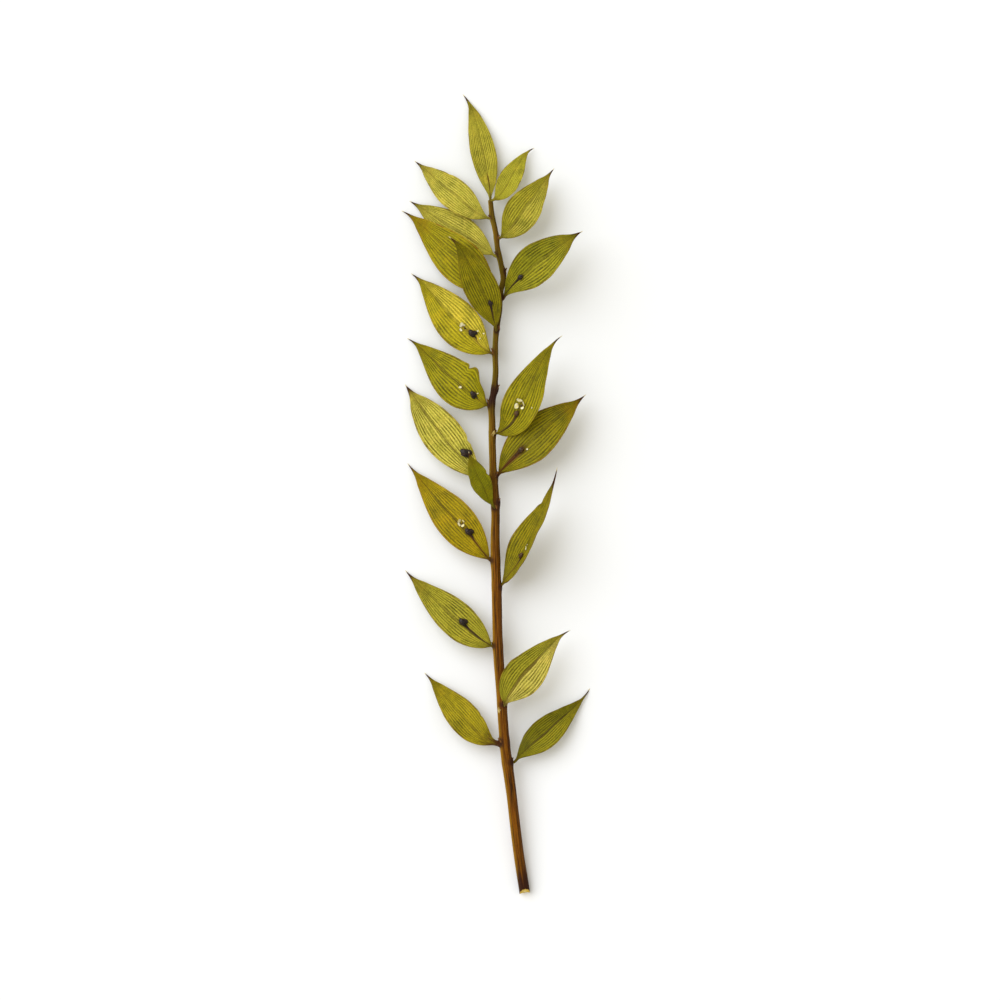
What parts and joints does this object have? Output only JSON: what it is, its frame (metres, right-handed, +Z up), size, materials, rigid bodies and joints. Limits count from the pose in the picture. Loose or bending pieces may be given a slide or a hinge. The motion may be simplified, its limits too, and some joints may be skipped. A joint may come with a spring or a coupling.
{
  "type": "dried ruscus stem",
  "caption": "Dried, cut sprig of ruscus lying flat: a thin woody stem with two rows of pointed, spine-tipped leaf blades, some bearing a small bud or dried flower on the midrib.",
  "frame": {"origin": "on the resting surface, under the middle of the sprig's bounding box", "axes": "+X to the right seen from above, +Y along the stem from the cut end to the tip, +Z up from the resting surface"},
  "size_m": [0.0472, 0.2002, 0.015],
  "materials": {
    "blade": "dry, leathery, satin, fine parallel veins",
    "bark": "dry, finely ribbed, satin",
    "bud": "dry scales, slightly glossy",
    "flower": "dry, matte, papery"
  },
  "bodies": {
    "root": {"stem": "bark", "leaf_01": "blade", "leaf_02": "blade", "leaf_03": "blade", "leaf_04": "blade", "leaf_05": "blade", "leaf_06": "blade", "leaf_07": "blade", "leaf_08": "blade", "leaf_09": "blade", "leaf_10": "blade", "leaf_11": "blade", "leaf_12": "blade", "leaf_13": "blade", "leaf_14": "blade", "leaf_15": "blade", "leaf_16": "blade", "leaf_17": "blade", "leaf_18": "blade", "leaf_19": "blade", "leaf_20": "blade", "bud_07": "bud", "bud_08": "bud", "bud_09": "bud", "bud_10": "bud", "bud_11": "bud", "bud_12": "bud", "bud_13": "bud", "bud_15": "bud", "bud_16": "bud", "bud_17": "bud", "flower_09": "flower", "flower_11": "flower", "flower_15": "flower"}
  },
  "joints": []
}
